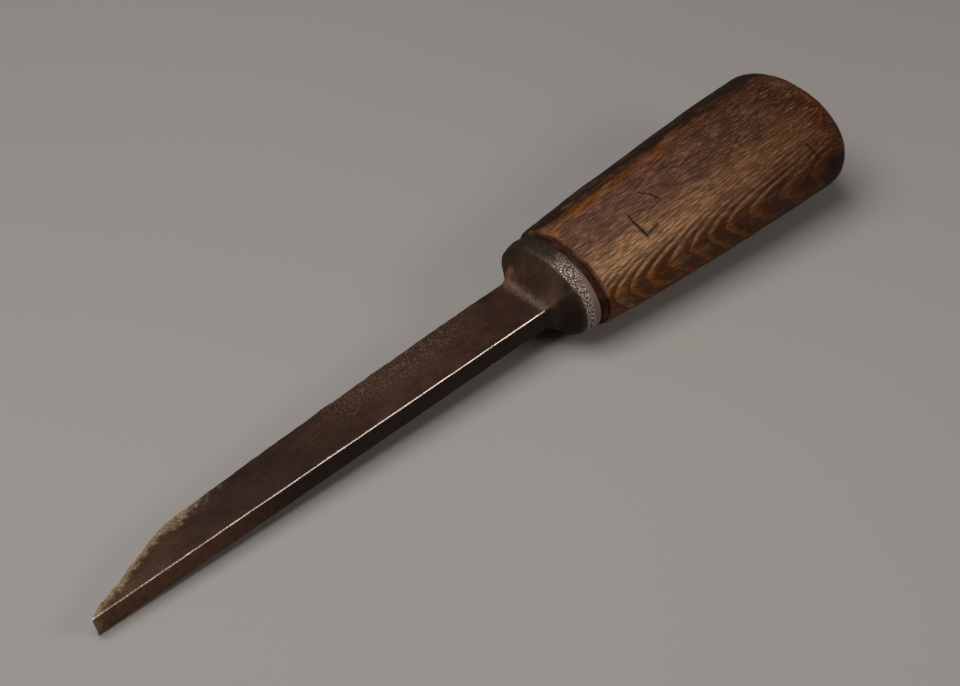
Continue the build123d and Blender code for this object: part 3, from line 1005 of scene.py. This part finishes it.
    relief = add(tree, "Math", {0: grain, 1: 0.8, 2: mottle}, operation="MULTIPLY_ADD")
    bump = add(tree, "Bump", {"Strength": 1.0, "Distance": 0.0006, "Height": relief})
    shine = add(tree, "MapRange", {0: mottle, 1: 0.3, 2: 0.7, 3: 0.5, 4: 0.68})
    look = {"Base Color": tone, "Roughness": shine, "Specular IOR Level": 0.15, "Normal": bump}
    add(tree, "OutputMaterial", {"Surface": add(tree, "BsdfPrincipled", look)})
    return material


def plain_floor():
    """Smooth matt board, with no more than a faint unevenness of tone."""
    material, tree = new_material("matt_painted_board")
    tone = add(tree, "TexNoise", {"Vector": add(tree, "TexCoord").outputs["Object"], "Scale": 3.0})
    shade = add(tree, "ValToRGB", {"Fac": tone}, stops=[(0.3, "a19e9c"), (0.7, "a5a2a0")])
    look = {"Base Color": shade, "Roughness": 0.7}
    add(tree, "OutputMaterial", {"Surface": add(tree, "BsdfPrincipled", look)})
    return material


# ---------------------------------------------------------------- stage

# All in metres except the angles, the lens and the sensor
FLOOR_REACH = 3.0
CAMERA_AZIMUTH = radians(-42.44)
CAMERA_ELEVATION = radians(42.8)
CAMERA_DISTANCE = 0.724
CAMERA_SHIFT = (0.0090, 0.0075)
LENS = 86.4
SENSOR_WIDTH = 36


def build_floor():
    """Plain pale floor under the tool."""
    data = bpy.data.meshes.new("floor")
    reach = FLOOR_REACH
    corners = [(-reach, -reach, 0), (reach, -reach, 0), (reach, reach, 0), (-reach, reach, 0)]
    data.from_pydata(corners, [], [(0, 1, 2, 3)])
    floor = bpy.data.objects.new("floor", data)
    bpy.context.scene.collection.objects.link(floor)
    data.materials.append(plain_floor())


def aim(obj, place, target):
    """Puts a camera or a light in its place, facing a target."""
    obj.location = place
    obj.rotation_euler = (Vector(target) - Vector(place)).to_track_quat("-Z", "Y").to_euler()
    bpy.context.scene.collection.objects.link(obj)


def build_camera():
    """Camera at the viewing angle, with the whole tool in its frame."""
    low, high = cad_box
    middle = [(low[i] + high[i]) / 2 + CAMERA_SHIFT[i] for i in range(2)]
    target = Vector((*middle, 0))
    level = cos(CAMERA_ELEVATION)
    back = Vector((sin(CAMERA_AZIMUTH) * level, -cos(CAMERA_AZIMUTH) * level, sin(CAMERA_ELEVATION)))
    data = bpy.data.cameras.new("camera")
    data.sensor_width = SENSOR_WIDTH
    data.lens = LENS
    camera = bpy.data.objects.new("camera", data)
    aim(camera, target + back * CAMERA_DISTANCE, target)
    bpy.context.scene.camera = camera


def build_light(name, place, size, power, tint):
    """Rectangular softbox that faces the tool."""
    data = bpy.data.lights.new(name, "AREA")
    data.shape = "RECTANGLE"
    data.size, data.size_y = size
    data.energy = power
    data.color = colour(tint)[:3]
    aim(bpy.data.objects.new(name, data), place, (0, 0, 0))


def build_lights():
    """Soft light from overhead, a weaker one from the side, and a dim surround."""
    build_light("overhead_softbox", (-0.22, 0.08, 0.75), (0.6, 0.6), 5.0, "fffaf6")
    build_light("side_softbox", (0.5, -0.68, 0.54), (0.5, 0.2), 2.0, "fff6ee")
    world = bpy.data.worlds.new("studio")
    world.use_nodes = True
    world.node_tree.nodes["Background"].inputs["Color"].default_value = colour("a8a5a3")
    world.node_tree.nodes["Background"].inputs["Strength"].default_value = 0.12
    bpy.context.scene.world = world
    bpy.context.scene.view_settings.view_transform = "Standard"


build_iron()
build_steel()
build_washer()
build_handle()
build_floor()
build_camera()
build_lights()
